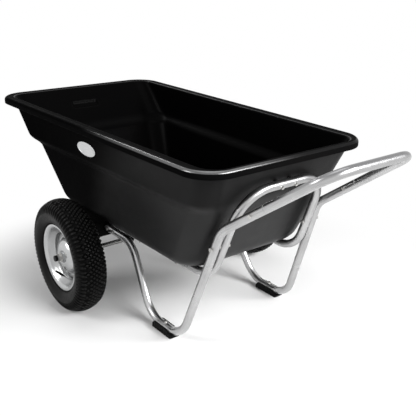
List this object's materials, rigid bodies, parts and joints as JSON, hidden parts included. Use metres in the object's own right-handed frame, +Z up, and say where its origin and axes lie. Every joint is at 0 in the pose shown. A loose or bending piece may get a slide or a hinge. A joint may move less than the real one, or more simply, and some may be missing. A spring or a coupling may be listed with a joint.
{
  "type": "two-wheeled garden cart",
  "caption": "Garden cart with a deep moulded plastic tub on a bent aluminium tube frame, pneumatic wheels on a fixed axle, rear legs with foot pads and a loop handle.",
  "frame": {"origin": "on the ground, under the middle of the whole cart's box", "axes": "+X back towards the handle, +Y to the right of the person pushing, +Z up from the ground"},
  "size_m": [1.6378, 0.9206, 0.7057],
  "materials": {
    "tub_plastic": "moulded black polyethylene, satin",
    "badge_metal": "thin satin plate, blank",
    "tube_aluminium": "bright drawn tube",
    "tyre_rubber": "moulded black rubber",
    "tube_rubber": "smooth",
    "wheel_steel": "zinc plated pressed steel",
    "bearing_steel": "ground",
    "black_plastic": "moulded, satin",
    "black_rubber": "moulded",
    "black_paint": "black powder coat",
    "axle_steel": "turned bar",
    "zinc_hardware": "zinc plated"
  },
  "bodies": {
    "frame": {"axle": "axle_steel", "axle_collars": "zinc_hardware", "axle_end_caps": "black_rubber", "axle_inner_washers": "zinc_hardware", "axle_nuts": "zinc_hardware", "axle_outer_washers": "zinc_hardware", "axle_pins": "axle_steel", "badge_plate": "badge_metal", "cradle_tube": "tube_aluminium", "foot_bolts": "zinc_hardware", "foot_nuts": "zinc_hardware", "foot_washers": "zinc_hardware", "front_beam": "black_paint", "front_beam_bolts": "zinc_hardware", "front_beam_nuts": "zinc_hardware", "front_leg_bolts": "zinc_hardware", "front_leg_nuts": "zinc_hardware", "handle_bolts": "zinc_hardware", "handle_loop": "tube_aluminium", "handle_nuts": "zinc_hardware", "left_axle_bracket": "black_paint", "left_bearing_inner_rings": "bearing_steel", "left_foot_pad": "black_plastic", "left_hub_spacer": "axle_steel", "left_leg_tube": "tube_aluminium", "rear_leg_bolts": "zinc_hardware", "rear_leg_nuts": "zinc_hardware", "right_axle_bracket": "black_paint", "right_bearing_inner_rings": "bearing_steel", "right_foot_pad": "black_plastic", "right_hub_spacer": "axle_steel", "right_leg_tube": "tube_aluminium", "tub": "tub_plastic", "tub_back_bolts": "zinc_hardware", "tub_back_nuts": "zinc_hardware", "tub_back_spacers": "black_rubber", "tub_floor_bolts": "zinc_hardware", "tub_floor_nuts": "zinc_hardware", "tub_floor_washers": "zinc_hardware", "tube_end_plugs": "black_plastic"},
    "left_wheel": {"left_bearing_balls": "bearing_steel", "left_bearing_outer_rings": "bearing_steel", "left_hub_tube": "wheel_steel", "left_inner_tube": "tube_rubber", "left_rim": "wheel_steel", "left_tyre": "tyre_rubber", "left_valve_cap": "black_rubber", "left_valve_stem": "black_rubber", "left_wheel_disc": "wheel_steel"},
    "right_wheel": {"right_bearing_balls": "bearing_steel", "right_bearing_outer_rings": "bearing_steel", "right_hub_tube": "wheel_steel", "right_inner_tube": "tube_rubber", "right_rim": "wheel_steel", "right_tyre": "tyre_rubber", "right_valve_cap": "black_rubber", "right_valve_stem": "black_rubber", "right_wheel_disc": "wheel_steel"}
  },
  "joints": [
    {"name": "left_wheel_spin", "type": "hinge", "parent": "frame", "child": "left_wheel", "pos_m": [-0.13995, -0.406, 0.2], "axis": [0, 1, 0], "continuous": true},
    {"name": "right_wheel_spin", "type": "hinge", "parent": "frame", "child": "right_wheel", "pos_m": [-0.13995, 0.406, 0.2], "axis": [0, 1, 0], "continuous": true}
  ]
}
